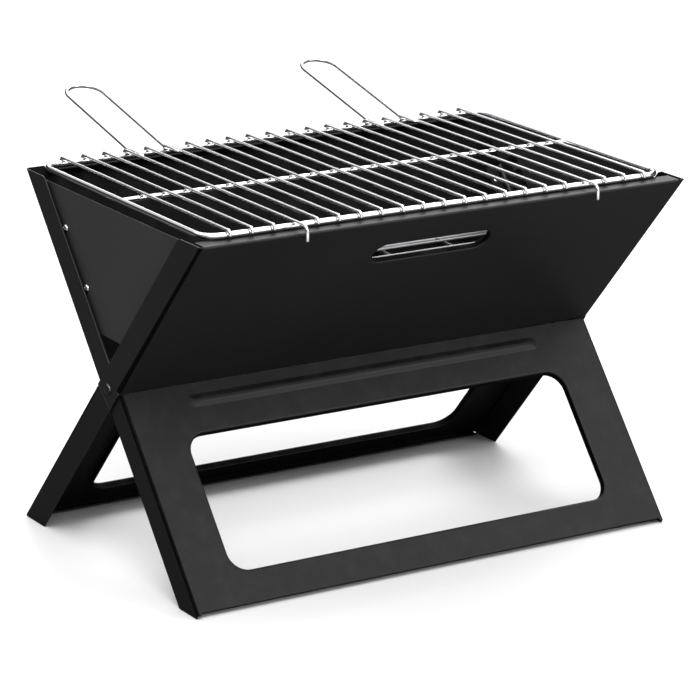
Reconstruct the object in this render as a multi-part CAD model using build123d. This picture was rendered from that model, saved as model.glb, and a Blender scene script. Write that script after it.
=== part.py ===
from build123d import *
import os
from math import sin, cos, tan, radians, sqrt

# Folding charcoal grill, standing open: two sheet steel frames cross at two pivot bolts.
# The inner frame is the front leg and the rear wall, the outer one the rear leg and the
# front wall. Two hinged end plates close the trough; a coal grate and a cooking grate lie in
# and on it. Millimetres and degrees; X runs along the grill, Y to the rear, Z up from the
# floor. Left is -X. The pieces are built with the pivot line at y = 0 and shifted on saving.

os.makedirs("parts", exist_ok=True)

# ---------------------------------------------------------------- driving dimensions
LENGTH = 450.0          # over the outer side strips
HEIGHT = 292.0          # floor to the horizontal top edges of both frames
PIVOT_Z = 146.0
LEAN_DEG = 40.0         # lean of each frame from the vertical
STRIP_W = 25.0          # width of the folded side strips
SHEET_T = 1.2
NEST_GAP = 1.0          # side gap between the two frames, filled by the pivot washers
NEST_EDGE = 1.5         # the inner frame's strips are narrower by this where they nest
ORIGIN_Y = 53.8         # the pivot line lies this far in front of the origin

LEAN = radians(LEAN_DEG)
HALF_W = STRIP_W / 2
BACK_N = HALF_W - SHEET_T              # inner face of a sheet, from the frame's mid plane
OUTER_X = LENGTH / 2                   # outer face of the outer frame
INNER_X = OUTER_X - SHEET_T - NEST_GAP     # outer face of the inner frame
SIDES = ((-1, "left"), (1, "right"))


# ---------------------------------------------------------------- frame axes
class Frame:
    """A leaning frame: s runs up along it from the pivot, n across it towards the front.

    lean is +1 when the top leans to the rear and -1 when it leans to the front.
    In the frame's local axes x is X, y is -n and z is s.
    """

    def __init__(self, lean, half_out, nest):
        self.lean = lean
        self.half_out = half_out
        self.half_in = half_out - SHEET_T
        self.nest = nest
        self.location = Pos(0, 0, PIVOT_Z) * Rot(-lean * LEAN_DEG, 0, 0)

    def point(self, s, n):
        """(y, z) of a place on the frame."""
        return (self.lean * s * sin(LEAN) - n * cos(LEAN),
                PIVOT_Z + s * cos(LEAN) + self.lean * n * sin(LEAN))

    def s_at(self, z, n):
        """s of the place at height z and level n."""
        return (z - PIVOT_Z - self.lean * n * sin(LEAN)) / cos(LEAN)

    def at_height(self, z, n):
        return self.point(self.s_at(z, n), n)


INNER = Frame(+1, INNER_X, NEST_EDGE)
OUTER = Frame(-1, OUTER_X, 0)


# ---------------------------------------------------------------- helpers
def prism(outline, x0, x1):
    """Solid from a (y, z) outline, between two X planes."""
    face = make_face(Polyline(*[(0, y, z) for y, z in outline], close=True))
    return Pos(x0, 0, 0) * extrude(face, x1 - x0, dir=(1, 0, 0))


def on_sheet(sketch, n_from, n_to):
    """Sketch drawn in (x, s), made solid between two n levels, in local axes."""
    plane = Plane(origin=(0, -n_from, 0), x_dir=(1, 0, 0), z_dir=(0, -1, 0))
    return extrude(plane * sketch, n_to - n_from)


def rod(start, end, radius):
    start, end = Vector(*start), Vector(*end)
    span = end - start
    return extrude(Plane(origin=start, z_dir=span) * Circle(radius), span.length)


def cross_rod(sx, x0, x1, y, z, radius):
    """Rod along X on side sx, from |X| = x0 to x1."""
    return rod((sx * x0, y, z), (sx * x1, y, z), radius)


def round_wire(path, radius):
    return sweep(Plane(origin=path @ 0, z_dir=path % 0) * Circle(radius), path=path)


def wire_ring(half_x, half_y, y, z, corner_r, radius):
    """Closed rectangular wire frame with rounded corners."""
    outline = Pos(0, y, z) * RectangleRounded(2 * half_x, 2 * half_y, corner_r)
    return round_wire(outline.faces()[0].outer_wire(), radius)


def dome(radius, height):
    """Low domed head, flat side on z = 0."""
    ball_r = (radius * radius + height * height) / (2 * height)
    ball = Pos(0, 0, height - ball_r) * Sphere(ball_r)
    return ball & (Pos(0, 0, height / 2) * Cylinder(radius, height))


def hex_nut(sx, x, y, z, corner_r, height, bore_r):
    """Nut on side sx with its outer face at |X| = x."""
    plane = Plane(origin=(sx * x, y, z), z_dir=(-sx, 0, 0))
    body = extrude(plane * RegularPolygon(corner_r, 6), height)
    return body - cross_rod(sx, x + 1, x - height - 2, y, z, bore_r)


def try_fillet(shape, edges, radius):
    # guards against an empty selection or a fillet the kernel can't make:
    # the edges then stay sharp
    try:
        return fillet(edges, radius)
    except Exception:
        return shape


def save(name, *shapes):
    """Write all solids of the shapes to one STEP file."""
    solids = [Pos(0, -ORIGIN_Y, 0) * solid for shape in shapes for solid in shape.solids()]
    piece = solids[0] if len(solids) == 1 else Compound(children=solids)
    piece.label = name
    export_step(piece, "parts/" + name + ".step")


# ---------------------------------------------------------------- walls and legs
# side is +1 for a sheet on the front face of its frame and -1 for one on the rear face.
MEET_S = HALF_W * tan(LEAN)     # walls and legs meet at this distance from the pivot
JOINT_CLEAR = 0.4               # and their sheets start this far beyond
SHEET_S = MEET_S + JOINT_CLEAR
WALL_STRIP_S = -SHEET_S + 0.8   # lower end of the walls' strips
LEG_STRIP_S = -SHEET_S + 0.6    # upper end of the legs' strips
BEND_R = 1.1                    # outside radius of the bends between sheet and strips
LEDGE_BEND_R = 0.8
STRIP_CLIP = 2.0                # clip at the far top corners of the walls' strips
FOOT_CLIP = 3.5                 # clip at the corners of the feet beside the leg sheet

LEDGE_DEPTH_FRONT = 17.0        # grate ledges at the top of both walls
LEDGE_DEPTH_REAR = 12.5
LEDGE_HALF_FRONT = 220.5
LEDGE_HALF_REAR = 206.0         # shorter, so that the end plates and hinges pass it

FLOOR_GAP_FRONT = 3.0           # the leg sheets end this high; the strips stand on the floor
FLOOR_GAP_REAR = 1.5
HEM_DEPTH = 11.0                # hem along the bottom of both legs
HEM_HALF = 219.0
NOTCH_UP = 3.0                  # relief notches beside the hem: reach up the leg,
NOTCH_DOWN = 2.0                # below its edge,
NOTCH_IN = 3.0                  # behind the sheet
NOTCH_OUT = 1.0                 # and in front of it

WINDOW_HALF = 181.0             # leg windows, s negative below the pivot
WINDOW_TOP_S = -52.0
WINDOW_BOTTOM_S = -169.5
WINDOW_R = 17.0
WINDOW_LIP = 6.5
SLOT_S = 156.5                  # carry slot in the front wall
SLOT_L = 111.0
SLOT_W = 25.0
SLOT_LIP = 5.0
LIP_EDGE_R = 0.9

BEAD_S = -25.8                  # stiffening bead across the legs
BEAD_HALF = 168.5
BEAD_W = 10.5
BEAD_DEPTH = 1.6
BEAD_TAPER = 40
BEAD_SHRINK = 1.4               # the hollow is shorter and narrower than the bead by this
BEAD_ROOT = 0.2                 # the bead starts this deep in the sheet
HOLLOW_ROOT = 0.5               # the hollow starts this far behind the sheet

PIVOT_HOLE_R = 3.0


def ends_on_bend(edge, frame, n, tol=0.3):
    """Whether both ends lie at level n on the frame's outer side faces."""
    for end in (edge @ 0, edge @ 1):
        local = (frame.location.inverse() * Pos(end.X, end.Y, end.Z)).position
        if abs(abs(local.X) - frame.half_out) > tol or abs(-local.Y - n) > tol:
            return False
    return True


def folded_sheet(frame, side, s_start, z_end, z_fold, fold_depth, fold_half, strip):
    """Sheet with a horizontal fold at z_end, z_fold being the fold's other face, and strips."""
    face_n, back_n = side * HALF_W, side * BACK_N
    y_end = frame.at_height(z_end, face_n)[0]
    y_fold = y_end + side * fold_depth
    sheet = prism([frame.point(s_start, face_n), (y_end, z_end),
                   frame.at_height(z_end, back_n), frame.point(s_start, back_n)],
                  -frame.half_out, frame.half_out)
    fold = prism([(y_end, z_end), (y_fold, z_end), (y_fold, z_fold),
                  frame.at_height(z_fold, face_n)], -fold_half, fold_half)
    return (sheet + fold + prism(strip, -frame.half_out, -frame.half_in)
            + prism(strip, frame.half_in, frame.half_out))


def round_bends(body, frame, side):
    edges = [e for e in body.edges()
             if e.length >= 20 and ends_on_bend(e, frame, side * HALF_W)]
    return try_fillet(body, edges, BEND_R)


def round_ledge_bend(body, frame, side, tol=0.4):
    y, z = frame.at_height(HEIGHT, side * HALF_W)
    edges = [e for e in body.edges()
             if e.length >= 100 and abs((e @ 0.5).Y - y) < tol and abs((e @ 0.5).Z - z) < tol]
    return try_fillet(body, edges, LEDGE_BEND_R)


def lipped_opening(body, frame, side, centre_s, length, width, outer, inner, depth):
    """Opening with an inward lip between the outer and inner sketch."""
    outer, inner = Pos(0, centre_s) * outer, Pos(0, centre_s) * inner
    body = body - frame.location * on_sheet(outer, side * (HALF_W - 3 * SHEET_T),
                                            side * (HALF_W + SHEET_T))
    lip = (on_sheet(outer, side * (HALF_W - depth), side * HALF_W)
           - on_sheet(inner, side * (HALF_W - depth - 1), side * (HALF_W + 1)))
    rim = [e for e in lip.edges()
           if abs(-(e @ 0.5).Y - side * HALF_W) < 0.05
           and abs((e @ 0.5).X) < length / 2 - SHEET_T / 2
           and abs((e @ 0.5).Z - centre_s) < width / 2 - SHEET_T / 2]
    return body + frame.location * try_fillet(lip, rim, LIP_EDGE_R)


def window(body, frame, side):
    length, width = 2 * WINDOW_HALF, WINDOW_TOP_S - WINDOW_BOTTOM_S
    outer = RectangleRounded(length, width, WINDOW_R)
    inner = RectangleRounded(length - 2 * SHEET_T, width - 2 * SHEET_T, WINDOW_R - SHEET_T)
    centre_s = (WINDOW_TOP_S + WINDOW_BOTTOM_S) / 2
    return lipped_opening(body, frame, side, centre_s, length, width, outer, inner, WINDOW_LIP)


def carry_slot(body, frame, side):
    outer = SlotOverall(SLOT_L, SLOT_W)
    inner = SlotOverall(SLOT_L - 2 * SHEET_T, SLOT_W - 2 * SHEET_T)
    return lipped_opening(body, frame, side, SLOT_S, SLOT_L, SLOT_W, outer, inner, SLOT_LIP)


def bead(body, frame, side):
    """Stiffening bead pressed outward across the leg."""
    def pressed(n_start, length, width, height):
        plane = Plane(origin=(0, -side * n_start, 0), x_dir=(1, 0, 0), z_dir=(0, -side, 0))
        outline = Pos(0, side * BEAD_S) * SlotOverall(length, width)
        return frame.location * extrude(plane * outline, height, taper=BEAD_TAPER)

    body = body + pressed(HALF_W - BEAD_ROOT, 2 * BEAD_HALF, BEAD_W, BEAD_DEPTH + BEAD_ROOT)
    return body - pressed(BACK_N - HOLLOW_ROOT, 2 * BEAD_HALF - BEAD_SHRINK,
                          BEAD_W - BEAD_SHRINK, BEAD_DEPTH + HOLLOW_ROOT)


def wall(frame, ledge_half, ledge_depth):
    side = -frame.lean
    face_n = side * HALF_W
    near_n = side * (HALF_W - frame.nest)
    far_n = -near_n
    clip_n = far_n + side * STRIP_CLIP
    strip = [frame.point(WALL_STRIP_S, near_n)]
    if frame.nest:
        # narrow below the meeting line, full width above it
        strip += [frame.point(MEET_S, near_n), frame.point(MEET_S, face_n)]
    strip += [frame.at_height(HEIGHT, face_n),
              frame.at_height(HEIGHT, clip_n),
              frame.point(frame.s_at(HEIGHT, far_n) - STRIP_CLIP, far_n),
              frame.point(WALL_STRIP_S, far_n)]
    body = folded_sheet(frame, side, SHEET_S, HEIGHT, HEIGHT - SHEET_T,
                        ledge_depth, ledge_half, strip)
    return round_ledge_bend(round_bends(body, frame, side), frame, side)


def leg(frame, floor_gap):
    side = frame.lean
    face_n = side * HALF_W
    far_n = -side * (HALF_W - frame.nest)
    bottom_s = frame.s_at(floor_gap, face_n)
    strip = [frame.point(LEG_STRIP_S, face_n),
             frame.point(bottom_s, face_n),
             frame.at_height(0, side * (HALF_W - FOOT_CLIP)),
             frame.at_height(0, far_n),
             frame.point(LEG_STRIP_S, far_n)]
    body = folded_sheet(frame, side, -SHEET_S, floor_gap, floor_gap + SHEET_T,
                        HEM_DEPTH, HEM_HALF, strip)
    notch_out_n = side * (HALF_W + NOTCH_OUT)
    notch_in_n = side * (BACK_N - NOTCH_IN)
    notch = [frame.point(bottom_s - NOTCH_UP, notch_out_n),
             frame.point(bottom_s + NOTCH_DOWN, notch_out_n),
             frame.point(bottom_s + NOTCH_DOWN, notch_in_n),
             frame.point(bottom_s - NOTCH_UP, notch_in_n)]
    body -= prism(notch, -frame.half_in, -HEM_HALF)
    body -= prism(notch, HEM_HALF, frame.half_in)
    body = round_bends(body, frame, side)
    return bead(window(body, frame, side), frame, side)


def drill_pivots(body):
    for sx, _ in SIDES:
        body -= cross_rod(sx, OUTER_X + 2, INNER.half_in - 2, 0, PIVOT_Z, PIVOT_HOLE_R)
    return body


# ---------------------------------------------------------------- end plates and hinges
# Hinge pieces are built in the inner frame's local axes.
PLATE_OUT = 219.0               # outer face of the end plates
PLATE_IN = PLATE_OUT - SHEET_T
PLATE_TOP = HEIGHT - 4.0
PLATE_BOTTOM = 184.0
PLATE_GAP_REAR = 0.6
PLATE_GAP_FRONT = 19.3          # the free edge ends behind the front strip

HINGE_S0 = 72.0
HINGE_S1 = 147.0
HINGE_MID = 108.5               # where the two knuckles meet
KNUCKLE_R = 2.6
KNUCKLE_GAP = 0.3               # half the gap between the knuckles
KNUCKLE_CLEAR = 0.4             # leaf to the other leaf's knuckle
PIN_R = 1.25
PIN_CLEAR = 0.05
PIN_SHORT = 3.0                 # the pin ends this far below the hinge's top
WASHER_HALF = 0.28
WASHER_SHY = 0.1                # washer radius under the knuckle's
LEAF_T = 1.0
LEAF_IN = PLATE_IN - LEAF_T     # inner face of the plate leaf
WALL_LEAF_W = 13.0
PLATE_LEAF_W = 24.0
AXIS_X = PLATE_IN - KNUCKLE_R   # hinge axis
AXIS_N = -BACK_N + KNUCKLE_R

FASTENER_S = (82.0, 135.0)      # screws and rivets sit at the same heights
SCREW_N = 10.3
SCREW_R = 1.95
SCREW_HOLE_R = SCREW_R + 0.1
SCREW_HEAD_R = 3.4
SCREW_HEAD_H = 2.0
SCREW_REACH = 2.8               # shank beyond the leaf
SCREW_NUT_R = 3.4
SCREW_NUT_H = 2.2
RIVET_X = AXIS_X - 7.5
RIVET_R = 1.6
RIVET_HEAD_R = 3.0
RIVET_HEAD_H = 1.1


def along_hinge(sx, s0, s1, radius):
    """Rod on the hinge axis of side sx."""
    return rod((sx * AXIS_X, -AXIS_N, s0), (sx * AXIS_X, -AXIS_N, s1), radius)


def pin_bore(sx, radius):
    return along_hinge(sx, HINGE_S0 - 1, HINGE_S1 + 1, radius)


def leaf_box(sx, x0, x1, n0, n1, s0, s1):
    centre = Pos(sx * (x0 + x1) / 2, -(n0 + n1) / 2, (s0 + s1) / 2)
    return centre * Box(x1 - x0, n1 - n0, s1 - s0)


def screw_hole(sx, s):
    return cross_rod(sx, PLATE_OUT + 2, PLATE_OUT - 6, -SCREW_N, s, SCREW_HOLE_R)


def rivet_hole(sx, s):
    return rod((sx * RIVET_X, HALF_W + 2, s), (sx * RIVET_X, BACK_N - 3, s), RIVET_R)


def end_plate(sx):
    rear_n = -BACK_N + PLATE_GAP_REAR
    front_n = BACK_N - PLATE_GAP_FRONT
    outline = [INNER.at_height(PLATE_TOP, rear_n), INNER.at_height(PLATE_BOTTOM, rear_n),
               OUTER.at_height(PLATE_BOTTOM, front_n), OUTER.at_height(PLATE_TOP, front_n)]
    plate = prism(outline, *sorted((sx * PLATE_IN, sx * PLATE_OUT)))
    for s in FASTENER_S:
        plate -= INNER.location * screw_hole(sx, s)
    return plate


def wall_leaf(sx):
    """Leaf on the rear wall, with the lower knuckle."""
    knuckle_top = HINGE_MID - KNUCKLE_GAP
    n0, n1 = -BACK_N, -BACK_N + LEAF_T
    x0 = AXIS_X - WALL_LEAF_W
    leaf = leaf_box(sx, x0, AXIS_X, n0, n1, HINGE_S0, knuckle_top)
    leaf += leaf_box(sx, x0, AXIS_X - KNUCKLE_R - KNUCKLE_CLEAR, n0, n1, knuckle_top, HINGE_S1)
    leaf += along_hinge(sx, HINGE_S0, knuckle_top, KNUCKLE_R)
    leaf -= pin_bore(sx, PIN_R)
    for s in FASTENER_S:
        leaf -= rivet_hole(sx, s)
    return leaf


def plate_leaf(sx):
    """Leaf on the end plate, with the upper knuckle."""
    knuckle_bottom = HINGE_MID + KNUCKLE_GAP
    n1 = AXIS_N + PLATE_LEAF_W
    leaf = leaf_box(sx, LEAF_IN, PLATE_IN, AXIS_N, n1, knuckle_bottom, HINGE_S1)
    leaf += leaf_box(sx, LEAF_IN, PLATE_IN, AXIS_N + KNUCKLE_R + KNUCKLE_CLEAR, n1,
                     HINGE_S0, knuckle_bottom)
    leaf += along_hinge(sx, knuckle_bottom, HINGE_S1, KNUCKLE_R)
    leaf -= pin_bore(sx, PIN_R + PIN_CLEAR)
    for s in FASTENER_S:
        leaf -= screw_hole(sx, s)
    return leaf


def hinge_pin(sx):
    return along_hinge(sx, HINGE_S0, HINGE_S1 - PIN_SHORT, PIN_R)


def hinge_washer(sx):
    disc = along_hinge(sx, HINGE_MID - WASHER_HALF, HINGE_MID + WASHER_HALF,
                       KNUCKLE_R - WASHER_SHY)
    return disc - pin_bore(sx, PIN_R + PIN_CLEAR)


def hinge_screw(sx, s):
    """Dome head on the outer face of the plate, shank through plate and leaf."""
    plane = Plane(origin=(sx * PLATE_OUT, -SCREW_N, s), z_dir=(sx, 0, 0))
    head = plane * dome(SCREW_HEAD_R, SCREW_HEAD_H)
    return head + cross_rod(sx, PLATE_OUT, LEAF_IN - SCREW_REACH, -SCREW_N, s, SCREW_R)


def hinge_nut(sx, s):
    return hex_nut(sx, LEAF_IN, -SCREW_N, s, SCREW_NUT_R, SCREW_NUT_H, SCREW_R)


def hinge_rivet(sx, s):
    """Rivet through wall and wall leaf, with a low head on each side."""
    outside = (sx * RIVET_X, HALF_W, s)
    inside = (sx * RIVET_X, BACK_N - LEAF_T, s)
    rivet = rod(outside, inside, RIVET_R)
    rivet += Plane(origin=outside, z_dir=(0, 1, 0)) * dome(RIVET_HEAD_R, RIVET_HEAD_H)
    rivet += Plane(origin=inside, z_dir=(0, -1, 0)) * dome(RIVET_HEAD_R, RIVET_HEAD_H)
    return rivet


def save_on_inner(name, *shapes):
    """Save shapes built in the inner frame's local axes."""
    save(name, *[INNER.location * solid for shape in shapes for solid in shape.solids()])


# ---------------------------------------------------------------- pivots
BOLT_R = 2.95
BOLT_HEAD_R = 4.8
BOLT_HEAD_H = 2.6
BOLT_REACH = 1.2                # shank beyond the nut
PIVOT_WASHER_R = 8.0
PIVOT_WASHER_CLEAR = 0.05
NUT_ACROSS_FLATS = 10.0
NUT_H = 4.2


def pivot_bolt(sx):
    shank = cross_rod(sx, OUTER_X, INNER.half_in - NUT_H - BOLT_REACH, 0, PIVOT_Z, BOLT_R)
    plane = Plane(origin=(sx * OUTER_X, 0, PIVOT_Z), z_dir=(sx, 0, 0))
    return shank + plane * dome(BOLT_HEAD_R, BOLT_HEAD_H)


def pivot_washer(sx):
    disc = cross_rod(sx, OUTER.half_in, INNER_X, 0, PIVOT_Z, PIVOT_WASHER_R)
    return disc - cross_rod(sx, OUTER.half_in + 1, INNER_X - 1, 0, PIVOT_Z,
                            BOLT_R + PIVOT_WASHER_CLEAR)


def pivot_nut(sx):
    return hex_nut(sx, INNER.half_in, 0, PIVOT_Z, NUT_ACROSS_FLATS / sqrt(3), NUT_H, BOLT_R)


# ---------------------------------------------------------------- cooking grate
RAIL_R = 2.5
BAR_R = 1.45
WELD = 0.25                     # depth that crossing wires sink into each other
GRATE_X = 212.0                 # half sizes, to the rail centres
GRATE_Y = 127.0
GRATE_MID_Y = 4.0               # the grate lies this far behind the pivot line
GRATE_REAR_Y = GRATE_MID_Y + GRATE_Y
GRATE_CORNER = 14.0
RAIL_Z = HEIGHT + RAIL_R
BAR_Z = RAIL_Z + RAIL_R + BAR_R - WELD
SUPPORT_R = 2.0
BARS = 21                       # counted from 1 at the left
BAR_PITCH = 2 * GRATE_X / (BARS + 1)
BAR_END_DROP = 1.0              # the bar ends turn down to this far below the rail centre
BAR_BEND_R = 2.2
HOOK_BARS = (4, 18)
HOOK_Y = -142.3                 # the hooks drop just outside the front wall's top edge
HOOK_Z = HEIGHT - 6.0
HOOK_BEND_R = 5.0
HANDLE_BARS = ((4, 6), (16, 18))    # each handle lies between these two bars
HANDLE_R = BAR_R + 0.25
HANDLE_LEN = 121.0
HANDLE_TILT = radians(13.5)
HANDLE_START_Y = GRATE_REAR_Y - 22.0
HANDLE_BEND_Y = GRATE_REAR_Y + 1.0
HANDLE_BEND_R = 7.0


def bar_x(i):
    return -GRATE_X + BAR_PITCH * i


def cooking_bar(x):
    """Bar whose two ends turn down over the rails."""
    reach = GRATE_Y + RAIL_R + BAR_R - WELD
    rear, front = GRATE_MID_Y + reach, GRATE_MID_Y - reach
    end_z = RAIL_Z - BAR_END_DROP
    path = FilletPolyline((x, rear, end_z), (x, rear, BAR_Z), (x, front, BAR_Z),
                          (x, front, end_z), radius=BAR_BEND_R)
    return round_wire(path, BAR_R)


def hook_bar(x):
    """Bar that runs over the front ledge and down outside the front wall."""
    path = FilletPolyline((x, GRATE_REAR_Y + RAIL_R, BAR_Z), (x, HOOK_Y, BAR_Z),
                          (x, HOOK_Y, HOOK_Z), radius=HOOK_BEND_R)
    return round_wire(path, BAR_R)


def handle(first_bar, last_bar):
    """Two straight legs rising to the rear, joined by a half circle."""
    xa = bar_x(first_bar) + 2 * BAR_R
    xb = bar_x(last_bar) - 2 * BAR_R
    radius = (xb - xa) / 2

    def tilted(x, reach):
        return (x, HANDLE_BEND_Y + reach * cos(HANDLE_TILT), BAR_Z + reach * sin(HANDLE_TILT))

    arc_start = tilted(xa, HANDLE_LEN - radius)
    arc_end = tilted(xb, HANDLE_LEN - radius)
    leg_a = FilletPolyline((xa, HANDLE_START_Y, BAR_Z), (xa, HANDLE_BEND_Y, BAR_Z),
                           arc_start, radius=HANDLE_BEND_R)
    leg_b = FilletPolyline(arc_end, (xb, HANDLE_BEND_Y, BAR_Z),
                           (xb, HANDLE_START_Y, BAR_Z), radius=HANDLE_BEND_R)
    arc = ThreePointArc(arc_start, tilted((xa + xb) / 2, HANDLE_LEN), arc_end)
    return round_wire(Wire(list(leg_a.edges()) + list(arc.edges()) + list(leg_b.edges())),
                      HANDLE_R)


# ---------------------------------------------------------------- coal grate
COAL_Z = 207.0
COAL_X = 188.0
COAL_RIM_R = 2.0
COAL_BAR_R = 1.4
COAL_CORNER = 9
COAL_PITCH = 19.27
COAL_BARS = 6
COAL_CROSS_X = (-124.0, -62.0, 0.0, 62.0, 124.0)
COAL_CLEAR = 0.15               # rim to the walls
# half depth to the rim centre, so that the rim rests between the sloping walls
COAL_Y = ((COAL_Z - PIVOT_Z) * tan(LEAN) + BACK_N / cos(LEAN)
          - COAL_RIM_R / cos(LEAN) - COAL_CLEAR)


def coal_bar(k):
    y = (k - (COAL_BARS - 1) / 2) * COAL_PITCH
    z = COAL_Z + COAL_RIM_R + COAL_BAR_R - WELD
    reach = COAL_X + COAL_RIM_R
    return rod((-reach, y, z), (reach, y, z), COAL_BAR_R)


def coal_cross_bar(x):
    z = COAL_Z + COAL_RIM_R - COAL_BAR_R
    return rod((x, -COAL_Y, z), (x, COAL_Y, z), COAL_BAR_R)


# ---------------------------------------------------------------- build and save
front_wall = wall(OUTER, LEDGE_HALF_FRONT, LEDGE_DEPTH_FRONT)
save("front_wall", drill_pivots(carry_slot(front_wall, OUTER, +1)))
save("rear_leg", leg(OUTER, FLOOR_GAP_REAR))
rear_wall = drill_pivots(wall(INNER, LEDGE_HALF_REAR, LEDGE_DEPTH_REAR))
for sx, _ in SIDES:
    for s in FASTENER_S:
        rear_wall -= INNER.location * rivet_hole(sx, s)
save("rear_wall", rear_wall)
save("front_leg", leg(INNER, FLOOR_GAP_FRONT))

save("grate_frame",
     wire_ring(GRATE_X, GRATE_Y, GRATE_MID_Y, RAIL_Z, GRATE_CORNER, RAIL_R))
save("grate_bars",
     *[cooking_bar(bar_x(i)) for i in range(1, BARS + 1) if i not in HOOK_BARS])
save("grate_hook_bars", *[hook_bar(bar_x(i)) for i in HOOK_BARS])
save("grate_support_rod",
     rod((-GRATE_X, GRATE_MID_Y, RAIL_Z), (GRATE_X, GRATE_MID_Y, RAIL_Z), SUPPORT_R))

save("coal_grate_frame", wire_ring(COAL_X, COAL_Y, 0, COAL_Z, COAL_CORNER, COAL_RIM_R))
save("coal_grate_bars", *[coal_bar(k) for k in range(COAL_BARS)])
save("coal_grate_cross_bars", *[coal_cross_bar(x) for x in COAL_CROSS_X])

for (sx, tag), bars in zip(SIDES, HANDLE_BARS):
    save("grate_handle_" + tag, handle(*bars))
    save("end_plate_" + tag, end_plate(sx))
    save_on_inner("hinge_wall_leaf_" + tag, wall_leaf(sx))
    save_on_inner("hinge_plate_leaf_" + tag, plate_leaf(sx))
    save_on_inner("hinge_pin_" + tag, hinge_pin(sx))
    save_on_inner("hinge_washer_" + tag, hinge_washer(sx))
    save_on_inner("hinge_screws_" + tag, *[hinge_screw(sx, s) for s in FASTENER_S])
    save_on_inner("hinge_nuts_" + tag, *[hinge_nut(sx, s) for s in FASTENER_S])
    save_on_inner("hinge_rivets_" + tag, *[hinge_rivet(sx, s) for s in FASTENER_S])
    save("pivot_bolt_" + tag, pivot_bolt(sx))
    save("pivot_washer_" + tag, pivot_washer(sx))
    save("pivot_nut_" + tag, pivot_nut(sx))
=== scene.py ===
# Grill made of two bent-sheet frames that cross as an X and turn on a pair of bolts. The upper
# halves are the walls of a trough that holds the coal grate, with the cooking grate on top; the
# lower halves are the legs. The trough runs along x, left is -x, the front is -y, the floor is
# z = 0. Sizes are in mm, and MM turns them into metres. Stage values are in metres.
import bpy, bmesh, random
from math import sin, cos, tan, radians, pi
from mathutils import Vector, Matrix
from mathutils.geometry import tessellate_polygon
from mathutils import noise as mnoise


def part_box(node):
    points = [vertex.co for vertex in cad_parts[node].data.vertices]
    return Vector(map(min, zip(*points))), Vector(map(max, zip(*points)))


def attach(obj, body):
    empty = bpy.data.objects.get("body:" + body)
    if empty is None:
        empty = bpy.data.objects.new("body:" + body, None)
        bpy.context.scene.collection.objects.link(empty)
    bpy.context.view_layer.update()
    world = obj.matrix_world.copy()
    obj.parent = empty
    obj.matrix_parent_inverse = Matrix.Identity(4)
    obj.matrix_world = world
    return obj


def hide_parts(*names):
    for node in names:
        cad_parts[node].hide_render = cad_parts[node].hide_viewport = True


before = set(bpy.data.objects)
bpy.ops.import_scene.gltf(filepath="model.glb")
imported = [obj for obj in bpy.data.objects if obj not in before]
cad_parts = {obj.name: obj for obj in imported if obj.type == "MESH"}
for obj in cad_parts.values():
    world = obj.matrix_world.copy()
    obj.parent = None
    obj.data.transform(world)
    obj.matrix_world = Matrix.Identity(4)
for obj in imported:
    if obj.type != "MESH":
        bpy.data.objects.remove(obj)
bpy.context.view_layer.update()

MM = 0.001
random.seed(7)
scene = bpy.context.scene

# ------------------------------------------------------------------ places taken from the CAD
bolt_lo, bolt_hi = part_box("pivot_bolt_left")
PIVOT_Y = (bolt_lo.y + bolt_hi.y) / 2 / MM
PIVOT_Z = (bolt_lo.z + bolt_hi.z) / 2 / MM
OUTER_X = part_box("rear_leg")[1].x / MM          # half widths of the two frames
INNER_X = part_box("front_leg")[1].x / MM
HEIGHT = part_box("front_wall")[1].z / MM         # top of the walls
PLATE_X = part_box("end_plate_right")[1].x / MM   # outer face of the end plates

# ------------------------------------------------------------------ sheet sizes
LEAN = radians(40.0)        # each frame's angle from the vertical
SIN, COS, TAN = sin(LEAN), cos(LEAN), tan(LEAN)
HALF_DEPTH = 12.5           # half of a frame's depth across the sheet
SHEET = 1.2
ROOT = HALF_DEPTH * TAN + 0.4   # distance from the pivot where each sheet starts
NEST = 1.5                  # how much shallower the inner frame is on each side
LONG_RADIUS = 1.9           # outside radius of the long bends
FOLD_RADIUS = 1.35          # outside radius of the folded-back ledges and hems
FOLD_TURN = 130.0           # degrees
FOLD_SETBACK = FOLD_RADIUS * tan(radians(FOLD_TURN / 2))

FRONT_LEDGE, REAR_LEDGE = (220.5, 17.0), (206.0, 12.5)  # half length, depth
HEM_HALF, HEM_DEPTH = 219.0, 11.0
FRONT_GAP, REAR_GAP = 3.0, 1.5      # height of the hems above the floor
STRIP_CLIP, FOOT_CLIP = 2.0, 3.5    # cut corners of the side strips
PIVOT_HOLE = 3.0                    # radius

# Places along a frame are measured from the pivot, positive upward.
WINDOW_HALF, WINDOW_TOP, WINDOW_BOTTOM = 181.0, -52.0, -169.5
WINDOW_CORNER, WINDOW_LIP = 17.0, 6.5
SLOT_PLACE, SLOT_LENGTH, SLOT_WIDTH, SLOT_LIP = 156.5, 111.0, 25.0, 5.0
BEAD_PLACE, BEAD_HALF, BEAD_WIDTH, BEAD_RISE, BEAD_FADE = -25.8, 169.0, 11.5, 1.6, 12.0
# fraction of the way in from the bead's outline, fraction of its full rise
BEAD_PROFILE = ((0.0, 0.0), (0.06, 0.03), (0.14, 0.13), (0.30, 0.36),
                (0.50, 0.65), (0.70, 0.92), (0.80, 0.98), (0.88, 1.0))


class CrossFrame:
    """A leaning frame's axes: x, s upward along the frame, n across it, positive to the front."""

    def __init__(self, lean, half_width, nest):
        self.lean, self.half_width, self.nest = lean, half_width, nest

    def place(self, x, s, n):
        return Vector((x, PIVOT_Y + self.lean * s * SIN - n * COS,
                       PIVOT_Z + s * COS + self.lean * n * SIN)) * MM

    def along(self, z, n):
        """The s at which depth n reaches height z."""
        return (z - PIVOT_Z - self.lean * n * SIN) / COS


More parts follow.
